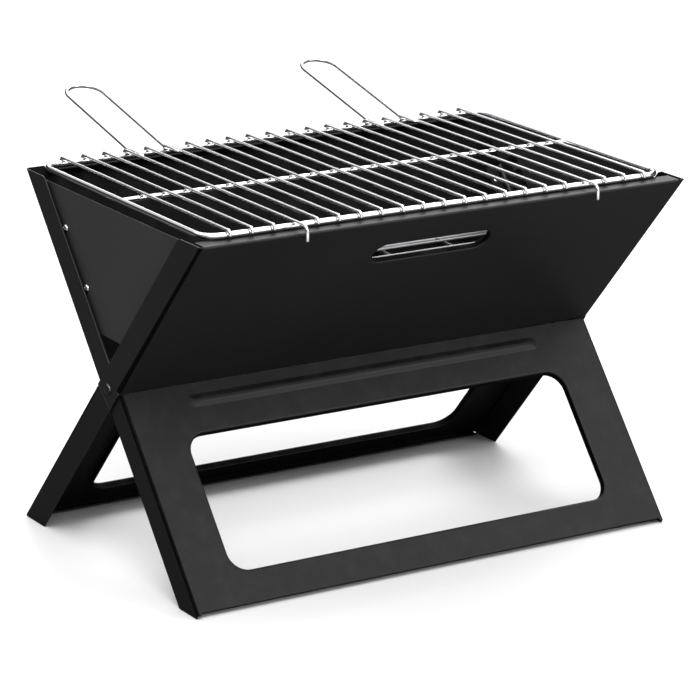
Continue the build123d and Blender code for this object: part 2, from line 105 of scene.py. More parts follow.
INNER = CrossFrame(lean=1, half_width=INNER_X, nest=NEST)   # top leans to the rear
OUTER = CrossFrame(lean=-1, half_width=OUTER_X, nest=0.0)   # top leans to the front


# ------------------------------------------------------------------ materials
class Nodes:
    """Adds and joins the shader nodes of one material or world."""

    def __init__(self, owner):
        owner.use_nodes = True
        self.tree = owner.node_tree
        self.tree.nodes.clear()

    def feed(self, socket, value):
        """Links a socket, or sets its value; colours may leave out their alpha."""
        if isinstance(value, bpy.types.NodeSocket):
            self.tree.links.new(value, socket)
        elif socket.type == "RGBA" and len(value) == 3:
            socket.default_value = value + (1.0,)
        else:
            socket.default_value = value

    def node(self, kind, inputs=(), **settings):
        node = self.tree.nodes.new(kind)
        for key, value in settings.items():
            setattr(node, key, value)
        for key, value in dict(inputs).items():
            self.feed(node.inputs[key], value)
        return node

    def remap(self, value, span=(0.3, 0.7), to=(0.0, 1.0), kind="LINEAR"):
        return self.node("ShaderNodeMapRange", {
            "From Min": span[0], "From Max": span[1], "To Min": to[0], "To Max": to[1],
            "Value": value}, interpolation_type=kind).outputs[0]

    def math(self, operation, first, second):
        return self.node("ShaderNodeMath", {0: first, 1: second}, operation=operation).outputs[0]

    def axis(self, vector, index):
        return self.node("ShaderNodeSeparateXYZ", {0: vector}).outputs[index]


class Material(Nodes):
    """A Principled material textured in object coordinates."""

    def __init__(self, name):
        self.material = bpy.data.materials.new(name)
        super().__init__(self.material)
        self.output = self.node("ShaderNodeOutputMaterial")
        self.surface = self.node("ShaderNodeBsdfPrincipled")
        self.feed(self.output.inputs[0], self.surface.outputs[0])
        self.coords = self.node("ShaderNodeTexCoord").outputs["Object"]

    def noise(self, scale, detail=2.0, rough=0.5, coords=None):
        return self.node("ShaderNodeTexNoise", {
            "Scale": scale, "Detail": detail, "Roughness": rough,
            "Vector": coords or self.coords}).outputs[0]

    def cells(self, scale, output="Distance"):
        return self.node("ShaderNodeTexVoronoi",
                         {"Scale": scale, "Vector": self.coords}).outputs[output]

    def mix(self, factor, first, second):
        return self.node("ShaderNodeMix", {0: factor, 6: first, 7: second},
                         data_type="RGBA").outputs[2]

    def bump(self, height, strength, distance, normal=None):
        inputs = {"Strength": strength, "Distance": distance, "Height": height}
        if normal is not None:
            inputs["Normal"] = normal
        return self.node("ShaderNodeBump", inputs).outputs[0]

    def upward(self):
        """How far the surface faces upward, 0 to 1."""
        geometry = self.node("ShaderNodeNewGeometry")
        return self.remap(self.axis(geometry.outputs["Normal"], 2), span=(0.3, 1.0))

    def set(self, **values):
        for key, value in values.items():
            self.feed(self.surface.inputs[key.replace("_", " ")], value)


def scaled(colour, factor):
    return tuple(min(1, channel * factor) for channel in colour)


def powder(name, dark, light, rough, specular, grain=1.0):
    """Satin powder coat: flow-out ripple, grain, cloudy sheen, flecks and dust on top faces."""
    mat = Material(name)
    ripple = mat.noise(scale=380.0, detail=1.5)
    fine = mat.noise(scale=1500.0, rough=0.6)
    cloud = mat.noise(scale=7.0, detail=3.0, rough=0.55)
    fleck = mat.remap(mat.cells(scale=900.0), span=(0.0, 0.16), to=(1.0, 0.0))
    normal = mat.bump(ripple, strength=0.32 * grain, distance=0.00006)
    normal = mat.bump(fine, strength=0.30 * grain, distance=0.00003, normal=normal)
    colour = mat.mix(mat.remap(cloud), dark, light)
    colour = mat.mix(mat.math("MULTIPLY", fleck, 0.25), colour, scaled(light, factor=3.2))
    patches = mat.noise(scale=60.0, detail=4.0, rough=0.65)
    dust = mat.math("MULTIPLY", mat.upward(),
                    mat.remap(patches, span=(0.45, 0.8), to=(0.0, 0.10)))
    colour = mat.mix(dust, colour, (0.20, 0.19, 0.18))
    roughness = mat.math("ADD", mat.remap(cloud, to=(rough - 0.035, rough + 0.035)),
                         mat.remap(fine, to=(-0.03, 0.04)))
    mat.set(Base_Color=colour, Roughness=roughness, Metallic=0.0,
            Specular_IOR_Level=specular, Normal=normal)
    return mat.material


def powder_edge(name, dark, rough, specular):
    """Coat for sheet edges: paler as a painted highlight, smoother, with rubbed spots of real wear.
    """
    mat = Material(name)
    rubbed = mat.remap(mat.noise(scale=140.0, detail=4.0, rough=0.7), span=(0.62, 0.78))
    fine = mat.noise(scale=1500.0, rough=0.6)
    colour = mat.mix(mat.math("MULTIPLY", rubbed, 0.35), dark, (0.10, 0.10, 0.105))
    mat.set(Base_Color=colour, Roughness=mat.remap(fine, to=(rough - 0.05, rough + 0.05)),
            Metallic=0.0, Specular_IOR_Level=specular,
            Normal=mat.bump(fine, strength=0.2, distance=0.00002))
    return mat.material


def chrome(name, tint, rough, spots=1.0):
    """Bright plated wire: faint haze, small pits and slightly duller patches."""
    mat = Material(name)
    haze = mat.noise(scale=45.0, detail=3.0, rough=0.6)
    fine = mat.noise(scale=900.0, rough=0.6)
    pit = mat.remap(mat.cells(scale=700.0), span=(0.0, 0.12), to=(1.0, 0.0))
    dull = mat.math("MULTIPLY", mat.remap(haze, span=(0.45, 0.75)), 0.30 * spots)
    colour = mat.mix(dull, tint, scaled(tint, factor=0.72))
    colour = mat.mix(mat.math("MULTIPLY", pit, 0.35 * spots), colour, (0.25, 0.24, 0.23))
    roughness = mat.math("ADD", mat.remap(haze, span=(0.35, 0.75), to=(rough, rough + 0.06)),
                         mat.remap(fine, span=(0.35, 0.65), to=(-0.01, 0.02)))
    waves = mat.bump(mat.noise(scale=260.0), strength=0.20, distance=0.00003)
    mat.set(Base_Color=colour, Metallic=1.0, Roughness=roughness,
            Normal=mat.bump(fine, strength=0.12, distance=0.00002, normal=waves))
    return mat.material


def plated(name, tint, rough, spangle):
    """Plated steel: crystal mottling, fine turning marks, dulled patches."""
    mat = Material(name)
    crystals = mat.node("ShaderNodeSeparateColor", {0: mat.cells(spangle, output="Color")})
    cloud = mat.noise(scale=110.0, detail=3.0, rough=0.6)
    colour = mat.mix(mat.remap(cloud, span=(0.35, 0.7)), tint, scaled(tint, factor=0.74))
    colour = mat.mix(mat.math("MULTIPLY", crystals.outputs[0], 0.16), colour,
                     scaled(tint, factor=1.25))
    stretched = mat.node("ShaderNodeMapping", {"Scale": (0.15, 1.0, 1.0), "Vector": mat.coords})
    brushed = mat.noise(scale=700.0, coords=stretched.outputs[0])
    roughness = mat.math("ADD", mat.remap(cloud, to=(rough - 0.04, rough + 0.08)),
                         mat.remap(brushed, to=(-0.04, 0.04)))
    mat.set(Base_Color=colour, Metallic=1.0, Roughness=roughness,
            Normal=mat.bump(brushed, strength=0.25, distance=0.00003))
    return mat.material


WALL = powder("coat_wall", dark=(0.0082, 0.0081, 0.0087), light=(0.0104, 0.0103, 0.0110),
              rough=0.43, specular=0.30)
LEG = powder("coat_leg", dark=(0.0050, 0.0050, 0.0055), light=(0.0072, 0.0072, 0.0078),
             rough=0.43, specular=0.29)
PLATE = powder("coat_plate", dark=(0.0250, 0.0247, 0.0256), light=(0.0300, 0.0297, 0.0306),
               rough=0.52, specular=0.40, grain=1.3)
# darker, duller copy of the wall coat for the walls' inner faces: painted shade inside the trough
INSIDE_PAINTED_SHADE = powder("coat_inside_painted_shade", dark=(0.0020, 0.0020, 0.0022), light=(0.0032, 0.0032, 0.0034),
                rough=0.62, specular=0.06)
# near-black copy of the coat for the long bends and the deep part of the lips: painted dark
# reflection along the bends, painted shade in the openings
BEND_PAINTED_SHADE = powder("coat_bend_painted_shade", dark=(0.0016, 0.0016, 0.0018), light=(0.0024, 0.0024, 0.0026),
              rough=0.50, specular=0.03)
# paler coat for the rounded sheet edges: painted highlight, with rubbed spots of real wear
EDGE_PAINTED_HIGHLIGHT_AND_WEAR = powder_edge("coat_edge_highlight_and_wear", dark=(0.016, 0.016, 0.017), rough=0.36, specular=0.5)
CHROME = chrome("chrome_wire", tint=(0.88, 0.88, 0.89), rough=0.045)
WELD = chrome("chrome_weld", tint=(0.62, 0.62, 0.63), rough=0.26, spots=1.6)
ZINC = plated("zinc_wire", tint=(0.30, 0.30, 0.31), rough=0.36, spangle=1200.0)
FASTENER = plated("plated_fastener", tint=(0.80, 0.80, 0.81), rough=0.20, spangle=1600.0)
HINGE = plated("blackened_hinge", tint=(0.055, 0.055, 0.058), rough=0.42, spangle=1000.0)
BOLT = plated("blackened_bolt", tint=(0.115, 0.115, 0.12), rough=0.30, spangle=1400.0)


# ------------------------------------------------------------------ mesh helpers
def link_mesh(name, mesh, materials):
    """Smooth-shaded object in the scene from a mesh."""
    mesh.polygons.foreach_set("use_smooth", [True] * len(mesh.polygons))
    for material in materials:
        mesh.materials.append(material)
    ob = bpy.data.objects.new(name, mesh)
    scene.collection.objects.link(ob)
    return ob


def new_object(name, verts, faces, materials):
    mesh = bpy.data.meshes.new(name)
    mesh.from_pydata([tuple(v) for v in verts], [], faces)
    mesh.validate(clean_customdata=False)
    return link_mesh(name, mesh, materials)


def face_outward(ob, sharp_angle=None):
    """Recalculates the normals, and marks edges sharper than sharp_angle if it is given."""
    bm = bmesh.new()
    bm.from_mesh(ob.data)
    bmesh.ops.recalc_face_normals(bm, faces=bm.faces)
    if sharp_angle is not None:
        for edge in bm.edges:
            if len(edge.link_faces) == 2 and edge.calc_face_angle(0) > sharp_angle:
                edge.smooth = False
    bm.to_mesh(ob.data)
    bm.free()


def modifier(ob, name, kind, **settings):
    added = ob.modifiers.new(name, kind)
    for key, value in settings.items():
        setattr(added, key, value)


def bake(ob):
    """Replaces an object's mesh with its evaluated one and drops the modifiers."""
    graph = bpy.context.evaluated_depsgraph_get()
    mesh = bpy.data.meshes.new_from_object(ob.evaluated_get(graph),
                                           preserve_all_data_layers=True, depsgraph=graph)
    old = ob.data
    ob.modifiers.clear()
    ob.data = mesh
    mesh.name = ob.name
    bpy.data.meshes.remove(old)
    bm = bmesh.new()
    bm.from_mesh(mesh)
    flat = [f for f in bm.faces if f.calc_area() < 1e-12]
    if flat:                        # collapsed corners of the bevel
        bmesh.ops.remove_doubles(bm, verts=list({v for f in flat for v in f.verts}), dist=1e-6)
        bmesh.ops.dissolve_degenerate(bm, edges=bm.edges, dist=1e-7)
        loose = [e for e in bm.edges if not e.link_faces]
        bmesh.ops.delete(bm, geom=loose, context="EDGES")
        delete_loose_verts(bm)
        bm.to_mesh(mesh)
    bm.free()
    return ob


def delete_loose_verts(bm):
    bmesh.ops.delete(bm, geom=[v for v in bm.verts if not v.link_faces], context="VERTS")


def hand_over(ob, body, node):
    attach(ob, body)
    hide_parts(node)


class Sheet:
    """The outer face of a bent sheet, drawn in local axes that place() turns into the scene's."""

    def __init__(self, place):
        self.place = place
        self.verts, self.local, self.known = [], [], {}
        self.faces, self.slots = [], []

    def point(self, *local):
        """Index of the vertex at a local place; equal places share one vertex."""
        key = tuple(round(value, 3) for value in local)
        if key not in self.known:
            self.known[key] = len(self.verts)
            self.verts.append(self.place(*local))
            self.local.append(local)
        return self.known[key]

    def add_face(self, face, slot=0):
        self.faces.append(face)
        self.slots.append(slot)

    def strip(self, first, second, closed=False, slot=0):
        """Quads between two rows of points."""
        count = len(first)
        for i in range(count if closed else count - 1):
            j = (i + 1) % count
            self.add_face([first[i], first[j], second[j], second[i]], slot)

    def fill(self, loops, u, v):
        """Fills a flat outline with holes; u and v are the two local axes it is flat in."""
        flat = [[Vector((self.local[i][u], self.local[i][v], 0.0)) for i in loop]
                for loop in loops]
        index = [i for loop in loops for i in loop]
        for triangle in tessellate_polygon(flat):
            face = [index[k] for k in triangle]
            if len(set(face)) == 3:
                self.add_face(face)

    def build(self, name, materials, outward, edge=0.26):
        """Object with the sheet's thickness added inward and its edges rounded."""
        bm = bmesh.new()
        verts = [bm.verts.new(place) for place in self.verts]
        for face, slot in zip(self.faces, self.slots):
            if len(set(face)) < 3:
                continue
            # leaves out a face that is there already or uses one vertex twice
            try:
                bm.faces.new([verts[i] for i in face]).material_index = slot
            except ValueError:
                pass
        bmesh.ops.recalc_face_normals(bm, faces=bm.faces)
        bm.faces.ensure_lookup_table()
        largest = max(bm.faces, key=lambda f: f.calc_area())
        largest.normal_update()
        if largest.normal.dot(outward) < 0:
            bmesh.ops.reverse_faces(bm, faces=bm.faces)
        delete_loose_verts(bm)
        mesh = bpy.data.meshes.new(name)
        bm.to_mesh(mesh)
        bm.free()
        ob = link_mesh(name, mesh, materials)
        # the inner face uses the second set of three slots where there is one: painted shade on the
        # walls
        modifier(ob, "thickness", "SOLIDIFY", thickness=SHEET * MM, offset=-1.0,
                 use_even_offset=True, use_quality_normals=True, use_rim=True,
                 material_offset=3 if len(materials) > 3 else 0)
        # the rounded edges take slot 1, the paler edge coat, as a painted highlight
        modifier(ob, "edge", "BEVEL", width=edge * MM, segments=2, limit_method="ANGLE",
                 angle_limit=radians(50), use_clamp_overlap=False, material=1)
        modifier(ob, "normals", "WEIGHTED_NORMAL", keep_sharp=False, weight=60)
        return bake(ob)


# ------------------------------------------------------------------ outlines and paths
def rounded_rectangle(half_x, half_y, radius, steps, centre=0.0):
    """Counter-clockwise outline, centred at (0, centre)."""
    out = []
    for way_x, way_y, start in ((1, 1, 0), (-1, 1, 90), (-1, -1, 180), (1, -1, 270)):
        for i in range(steps + 1):
            turn = radians(start + 90.0 * i / steps)
            out.append((way_x * (half_x - radius) + radius * cos(turn),
                        centre + way_y * (half_y - radius) + radius * sin(turn)))
    return out


def stadium(half, width, centre, side_points, cap_steps):
    """Round-ended outline, counter-clockwise from the lower left."""
    radius = width / 2
    straight = half - radius
    out = []
    for way in (1, -1):
        for i in range(side_points):
            x = way * (-straight + 2 * straight * i / (side_points - 1))
            out.append((x, centre - way * radius))
        for i in range(1, cap_steps):
            turn = -way * pi / 2 + pi * i / cap_steps
            out.append((way * straight + radius * cos(turn), centre + radius * sin(turn)))
    return out


def fillet(points, radius, steps=8):
    """Polyline with rounded corners."""
    points = [Vector(p) for p in points]
    out = [points[0]]
    for before, corner, after in zip(points, points[1:], points[2:]):
        leg_in, leg_out = corner - before, after - corner
        length_in, length_out = leg_in.length, leg_out.length
        leg_in, leg_out = leg_in.normalized(), leg_out.normalized()
        angle = leg_in.angle(leg_out)
        cut = min(radius * tan(angle / 2), length_in * 0.49, length_out * 0.98)
        fitted = cut / tan(angle / 2)
        normal = (leg_out - leg_in * leg_out.dot(leg_in)).normalized()
        centre = corner - leg_in * cut + normal * fitted
        for i in range(steps + 1):
            turn = angle * i / steps
            out.append(centre + (-normal * cos(turn) + leg_in * sin(turn)) * fitted)
    out.append(points[-1])
    return out


def subdivide(points, step):
    out = [points[0]]
    for start, end in zip(points, points[1:]):
        count = max(1, int((end - start).length / step))
        for i in range(1, count + 1):
            out.append(start.lerp(end, i / count))
    return out


def frames_along(points, closed):
    """Tangent and two cross directions at each point, turned as little as possible."""
    count = len(points)
    tangents = []
    for i in range(count):
        before = points[(i - 1) % count] if (closed or i > 0) else points[i]
        after = points[(i + 1) % count] if (closed or i < count - 1) else points[i]
        tangents.append((after - before).normalized())
    first = tangents[0]
    up = Vector((0, 0, 1)) if abs(first.z) < 0.9 else Vector((1, 0, 0))
    across = (up - first * up.dot(first)).normalized()
    out = []
    for tangent in tangents:
        across = (across - tangent * across.dot(tangent)).normalized()
        out.append((tangent, across, tangent.cross(across)))
    return out


# ------------------------------------------------------------------ bent sheet details
# side is +1 where the sheet's outer face looks along +n, and -1 where it looks along -n.
def lip(sheet, outline, side, radius, depth):
    """Edge of an opening turned inward; outline(offset) is the ring that far outside it."""
    steps = 6
    stations = []                   # offset, depth below the outer face
    for i in range(steps + 1):
        turn = radians(90.0 * i / steps)
        stations.append((radius * (1 - sin(turn)), radius * (1 - cos(turn))))
    stations.append((0.0, depth))
    rings = [[sheet.point(x, s, side * (HALF_DEPTH - down)) for x, s in outline(offset)]
             for offset, down in stations]
    # the deep rings of the lip take slot 2, the near-black bend coat: painted shade in the opening
    for k, (first, second) in enumerate(zip(rings, rings[1:])):
        sheet.strip(first, second, closed=True, slot=2 if k > 3 else 0)
    return rings[0]


def long_bends(sheet, side, half_width, ends):
    """Quarter-round bends from the face to both side strips; ends(n) is the s range at n."""
    steps = 7
    for way in (-1, 1):
        columns = []
        for i in range(steps + 1):
            turn = radians(90.0 * i / steps)
            n = side * (HALF_DEPTH - LONG_RADIUS + LONG_RADIUS * cos(turn))
            x = way * (half_width - LONG_RADIUS + LONG_RADIUS * sin(turn))
            columns.append([sheet.point(x, s, n) for s in ends(n)])
        # slot 2 is the near-black bend coat: painted dark reflection along each bend
        for first, second in zip(columns, columns[1:]):
            sheet.strip(first, second, slot=2)


def fold_back(sheet, side, way, edge, half, depth):
    """Horizontal flange folded back at a sheet's top (way +1) or bottom (way -1) edge."""
    steps = 9
    face = side * HALF_DEPTH
    profile = []
    for i in range(steps + 1):
        turn = radians(FOLD_TURN * i / steps)
        profile.append((edge - way * FOLD_SETBACK + way * FOLD_RADIUS * sin(turn),
                        face - side * FOLD_RADIUS + side * FOLD_RADIUS * cos(turn)))
    profile.append((edge - way * SIN * depth, face - side * COS * depth))
    sheet.strip(*[[sheet.point(x, s, n) for s, n in profile] for x in (-half, half)])


def outward_of(axes, side):
    return (axes.place(0, 0, side) - axes.place(0, 0, 0)).normalized()


def wall_pan(name, axes, side, ledge, slot):
    """Wall: the upper half of a frame, with side strips that reach round the pivot."""
    sheet = Sheet(axes.place)
    ledge_half, ledge_depth = ledge
    face = side * HALF_DEPTH
    top = axes.along(HEIGHT, face)
    fold = top - FOLD_SETBACK
    long_bends(sheet, side, axes.half_width, lambda n: [ROOT, axes.along(HEIGHT, n)])
    flat_x = axes.half_width - LONG_RADIUS
    outline = [(-flat_x, ROOT), (flat_x, ROOT), (flat_x, top), (ledge_half, top),
               (ledge_half, fold), (-ledge_half, fold), (-ledge_half, top), (-flat_x, top)]
    loops = [[sheet.point(x, s, face) for x, s in outline]]
    if slot:
        def slot_outline(offset):
            return stadium(SLOT_LENGTH / 2 - SHEET + offset, SLOT_WIDTH - 2 * SHEET + 2 * offset,
                           SLOT_PLACE, side_points=13, cap_steps=14)
        loops.append(lip(sheet, slot_outline, side, radius=1.9, depth=SLOT_LIP))
    sheet.fill(loops, 0, 1)
    fold_back(sheet, side, 1, top, ledge_half, ledge_depth)
    # side strips with the pivot hole
    bend = side * (HALF_DEPTH - LONG_RADIUS)
    near = side * (HALF_DEPTH - axes.nest)
    far = -near
    clip = far + side * STRIP_CLIP
    root_cut = 0.4 if axes.nest else 0.5
    strip = [(ROOT, bend), (ROOT - root_cut, near), (-ROOT + 0.8, near), (-ROOT + 0.8, far),
             (axes.along(HEIGHT, far) - STRIP_CLIP, far), (axes.along(HEIGHT, clip), clip),
             (axes.along(HEIGHT, bend), bend)]
    hole = [(PIVOT_HOLE * cos(2 * pi * i / 28), PIVOT_HOLE * sin(2 * pi * i / 28))
            for i in range(28)]
    for x in (-axes.half_width, axes.half_width):
        sheet.fill([[sheet.point(x, s, n) for s, n in loop] for loop in (strip, hole)], 1, 2)
    return sheet.build(name, [WALL, EDGE_PAINTED_HIGHLIGHT_AND_WEAR, BEND_PAINTED_SHADE, INSIDE_PAINTED_SHADE, INSIDE_PAINTED_SHADE, INSIDE_PAINTED_SHADE], outward_of(axes, side))


def pressed_bead(sheet, side):
    """Bead pressed outward across a leg, fading out towards its ends; returns its outline."""
    side_points, cap_steps = 61, 12
    rings = []
    for inset, rise in BEAD_PROFILE:
        width = BEAD_WIDTH * (1 - inset)
        half = BEAD_HALF - (BEAD_WIDTH - width) / 2
        ring = []
        for x, s in stadium(half, width, BEAD_PLACE, side_points, cap_steps):
            fade = min(1.0, max(0.0, (BEAD_HALF - abs(x)) / BEAD_FADE))
            fade = fade * fade * (3 - 2 * fade)
            # each ring also stands a hair above the one outside it
            height = BEAD_RISE * rise * fade + 1e-4 * inset
            ring.append(sheet.point(x, s, side * (HALF_DEPTH + height)))
        rings.append(ring)
    for first, second in zip(rings, rings[1:]):
        sheet.strip(first, second, closed=True)
    # flat crest: a strip between the long sides and a fan-shaped face at each end
    crest = rings[-1]
    half_way = side_points + cap_steps - 1
    low, right_cap = crest[:side_points], crest[side_points:half_way]
    high, left_cap = crest[half_way:half_way + side_points], crest[half_way + side_points:]
    sheet.strip(low, high[::-1])
    sheet.add_face([low[-1]] + right_cap + [high[0]])
    sheet.add_face([high[-1]] + left_cap + [low[0]])
    return rings[0]


def leg_pan(name, axes, side, gap):
    """Leg: the lower half of a frame, with a window, a bead, a hem and feet on the floor."""
    sheet = Sheet(axes.place)
    face = side * HALF_DEPTH
    bottom = axes.along(gap, face)
    fold = bottom + FOLD_SETBACK
    flat_x = axes.half_width - LONG_RADIUS
    long_bends(sheet, side, axes.half_width, lambda n: [-ROOT, bottom])
    outline = [(flat_x, -ROOT), (flat_x, bottom), (HEM_HALF, bottom), (HEM_HALF, fold),
               (-HEM_HALF, fold), (-HEM_HALF, bottom), (-flat_x, bottom), (-flat_x, -ROOT)]
    outer = [sheet.point(x, s, face) for x, s in outline]

    def window_outline(offset):
        return rounded_rectangle(WINDOW_HALF - SHEET + offset,
                                 (WINDOW_TOP - WINDOW_BOTTOM) / 2 - SHEET + offset,
                                 WINDOW_CORNER - SHEET + offset, steps=12,
                                 centre=(WINDOW_TOP + WINDOW_BOTTOM) / 2)
    window = lip(sheet, window_outline, side, radius=2.2, depth=WINDOW_LIP)
    bead = pressed_bead(sheet, side)
    sheet.fill([outer, window, bead], 0, 1)
    fold_back(sheet, side, -1, bottom, HEM_HALF, HEM_DEPTH)
    # side strips, down to the floor
    bend = side * (HALF_DEPTH - LONG_RADIUS)
    far = -side * (HALF_DEPTH - axes.nest)
    toe = side * (HALF_DEPTH - FOOT_CLIP)
    strip = [(-ROOT, bend), (bottom, bend), (axes.along(0.0, toe), toe),
             (axes.along(0.0, far), far), (-ROOT + 0.6, far), (-ROOT + 0.6, face)]
    for x in (-axes.half_width, axes.half_width):
        sheet.fill([[sheet.point(x, s, n) for s, n in strip]], 1, 2)
    return sheet.build(name, [LEG, EDGE_PAINTED_HIGHLIGHT_AND_WEAR, BEND_PAINTED_SHADE], outward_of(axes, side))


# ------------------------------------------------------------------ the two crossed frames
front_wall = wall_pan("front_wall_pan", OUTER, side=1, ledge=FRONT_LEDGE, slot=True)
rear_wall = wall_pan("rear_wall_pan", INNER, side=-1, ledge=REAR_LEDGE, slot=False)
front_leg = leg_pan("front_leg_pan", INNER, side=1, gap=FRONT_GAP)
rear_leg = leg_pan("rear_leg_pan", OUTER, side=-1, gap=REAR_GAP)
hand_over(front_wall, "outer_frame", "front_wall")
hand_over(rear_leg, "outer_frame", "rear_leg")
hand_over(rear_wall, "inner_frame", "rear_wall")
hand_over(front_leg, "inner_frame", "front_leg")


# ------------------------------------------------------------------ wires and welds
class Wires:
    """Round wires swept along paths (slot 0) and their welds (slot 1), in one mesh."""
    CAP_ANGLES = (78, 55, 28)   # degrees, from the tip inward
    CAP_LENGTH = 0.8            # of the wire's radius

    def __init__(self):
        self.verts, self.faces, self.slots = [], [], []

    def add_face(self, face, slot):
        self.faces.append(face)
        self.slots.append(slot)

    def ring(self, centre, across, other, radius, sides):
        start = len(self.verts)
        for k in range(sides):
            turn = 2 * pi * k / sides
            self.verts.append((centre + (across * cos(turn) + other * sin(turn)) * radius) * MM)
        return list(range(start, start + sides))

    def cap(self, tip, inward, axes, radius, swell, angles, sides):
        return [self.ring(tip + inward * radius * (1 - sin(radians(angle))) * self.CAP_LENGTH,
                          *axes, radius * cos(radians(angle)) * (1 + swell), sides)
                for angle in angles]

    def sweep(self, path, radius, closed=False, sides=16, swell=0.0):
        """Adds a wire; an open one has rounded ends, thicker by the fraction swell."""
        path = [Vector(p) for p in path]
        frames = frames_along(path, closed)
        last = len(path) - 1
        lengths = [0.0]
        for start, end in zip(path, path[1:]):
            lengths.append(lengths[-1] + (end - start).length)
        rings = []
        if not closed:
            tangent, *axes = frames[0]
            rings += self.cap(path[0], tangent, axes, radius, swell, self.CAP_ANGLES, sides)
        for i, (centre, (tangent, *axes)) in enumerate(zip(path, frames)):
            local_radius = radius
            if not closed:
                from_end = min(lengths[i], lengths[-1] - lengths[i])
                if i == 0:
                    centre = centre + tangent * radius * self.CAP_LENGTH
                if i == last:
                    centre = centre - tangent * radius * self.CAP_LENGTH
                local_radius = radius * (1 + swell * max(0.0, 1 - from_end / (2.2 * radius)))
            rings.append(self.ring(centre, *axes, local_radius, sides))
        if not closed:
            tangent, *axes = frames[-1]
            rings += self.cap(path[-1], -tangent, axes, radius, swell,
                              self.CAP_ANGLES[::-1], sides)
        pairs = list(zip(rings, rings[1:])) + ([(rings[-1], rings[0])] if closed else [])
        for first, second in pairs:
            for k in range(sides):
                after = (k + 1) % sides
                self.add_face([first[k], first[after], second[after], second[k]], 0)
        if not closed:
            self.add_face(list(reversed(rings[0])), 0)
            self.add_face(list(rings[-1]), 0)

    def weld(self, centre, axis, size, seed):
        """Slightly lumpy bead; size is its half length along axis, across it and upward."""
        centre, axis = Vector(centre), Vector(axis).normalized()
        across = axis.cross(Vector((0, 0, 1))).normalized()
        up = across.cross(axis)
        length, breadth, height = size
        around, steps = 14, 9
        shift = Vector((seed * 3.1, seed * 1.7, 0.3))
        rows = []
        for i in range(1, steps):
            polar = pi * i / steps
            row = []
            for j in range(around):
                turn = 2 * pi * j / around
                ray = Vector((cos(polar), sin(polar) * cos(turn), sin(polar) * sin(turn)))
                lump = 1.0 + 0.16 * mnoise.noise(ray * 1.9 + shift)
                row.append(len(self.verts))
                offset = axis * ray.x * length + across * ray.y * breadth + up * ray.z * height
                self.verts.append((centre + offset * lump) * MM)
            rows.append(row)
        tip, tail = len(self.verts), len(self.verts) + 1
        self.verts += [(centre + axis * length) * MM, (centre - axis * length) * MM]
        for first, second in zip(rows, rows[1:]):
            for j in range(around):
                after = (j + 1) % around
                self.add_face([first[j], second[j], second[after], first[after]], 1)
        for j in range(around):
            after = (j + 1) % around
            self.add_face([tip, rows[0][j], rows[0][after]], 1)
            self.add_face([tail, rows[-1][after], rows[-1][j]], 1)

    def build(self, name, materials):
        ob = new_object(name, self.verts, self.faces, materials)
        if len(materials) > 1:
            ob.data.polygons.foreach_set("material_index", self.slots)
        face_outward(ob)
        return ob


def closed_rail(wires, half_x, half_y, corner, steps, y, z, step, radius, sides):
    """Rounded rectangular ring of wire, lying flat."""
    ring = [Vector((x, y + dy, z)) for x, dy in rounded_rectangle(half_x, half_y, corner, steps)]
    wires.sweep(subdivide(ring + [ring[0]], step)[:-1], radius, closed=True, sides=sides)


# ------------------------------------------------------------------ cooking grate
RAIL_RADIUS, BAR_RADIUS, ROD_RADIUS = 2.5, 1.45, 2.0
GRATE_X, GRATE_Y, GRATE_CORNER = 212.0, 127.0, 14.0     # half sizes of the rail, corner radius
GRATE_MID = PIVOT_Y + 4.0       # the grate lies this far behind the middle of the trough
SINK = 0.25                     # how deep welded wires sink into each other
RAIL_Z = HEIGHT + RAIL_RADIUS
BAR_Z = RAIL_Z + RAIL_RADIUS + BAR_RADIUS - SINK
BAR_END = GRATE_Y + RAIL_RADIUS + BAR_RADIUS - SINK     # bars turn down just outside the rail
BARS = 21
HOOK_BARS = (4, 18)
HOOK_REACH, HOOK_DROP = 142.3, 6.0      # from the pivot to the front, below the wall's top
HANDLE_TILT, HANDLE_REACH = radians(13.5), 121.0
BAR_X = [-GRATE_X + 2 * GRATE_X / (BARS + 1) * i for i in range(BARS + 1)]   # bars are 1 to 21


def grate_rail():
    wires = Wires()
    closed_rail(wires, GRATE_X, GRATE_Y, GRATE_CORNER, steps=12, y=GRATE_MID, z=RAIL_Z,
                step=12.0, radius=RAIL_RADIUS, sides=20)
    # butt weld of the rail, near the middle of its rear side
    thick = RAIL_RADIUS + 0.35
    wires.weld((18.0, GRATE_MID + GRATE_Y, RAIL_Z), (1, 0, 0), (2.6, thick, thick), seed=91)
    return wires.build("grate_rail", [CHROME, WELD])


def grate_bars():
    wires = Wires()
    rear, front = GRATE_MID + BAR_END, GRATE_MID - BAR_END
    for i in range(1, BARS + 1):
        if i in HOOK_BARS:
            continue
        x = BAR_X[i]
        bow = 0.35 * mnoise.noise(Vector((i * 1.37, 0.2, 0.5)))
        path = fillet([(x, rear, RAIL_Z - 1.0), (x, rear, BAR_Z),
                       (x, front, BAR_Z), (x, front, RAIL_Z - 1.0)], radius=2.4)
        path = [p + Vector((bow * (1 - abs((p.y - GRATE_MID) / BAR_END)), 0, 0))
                for p in subdivide(path, 16.0)]
        wires.sweep(path, BAR_RADIUS, sides=14, swell=0.16)
    # welds on the rail's front and rear and on the rod in the middle
    for i in range(1, BARS + 1):
        x = BAR_X[i]
        for way in (-1, 1):
            wires.weld((x, GRATE_MID + way * GRATE_Y, RAIL_Z + RAIL_RADIUS - 0.25), (1, 0, 0),
                       (1.9, 1.3, 0.55), seed=i + 40 * (way + 1))
        wires.weld((x, GRATE_MID, RAIL_Z + 1.95), (1, 0, 0), (1.8, 1.3, 0.7), seed=i + 200)
    return wires.build("grate_bar_set", [CHROME, WELD])


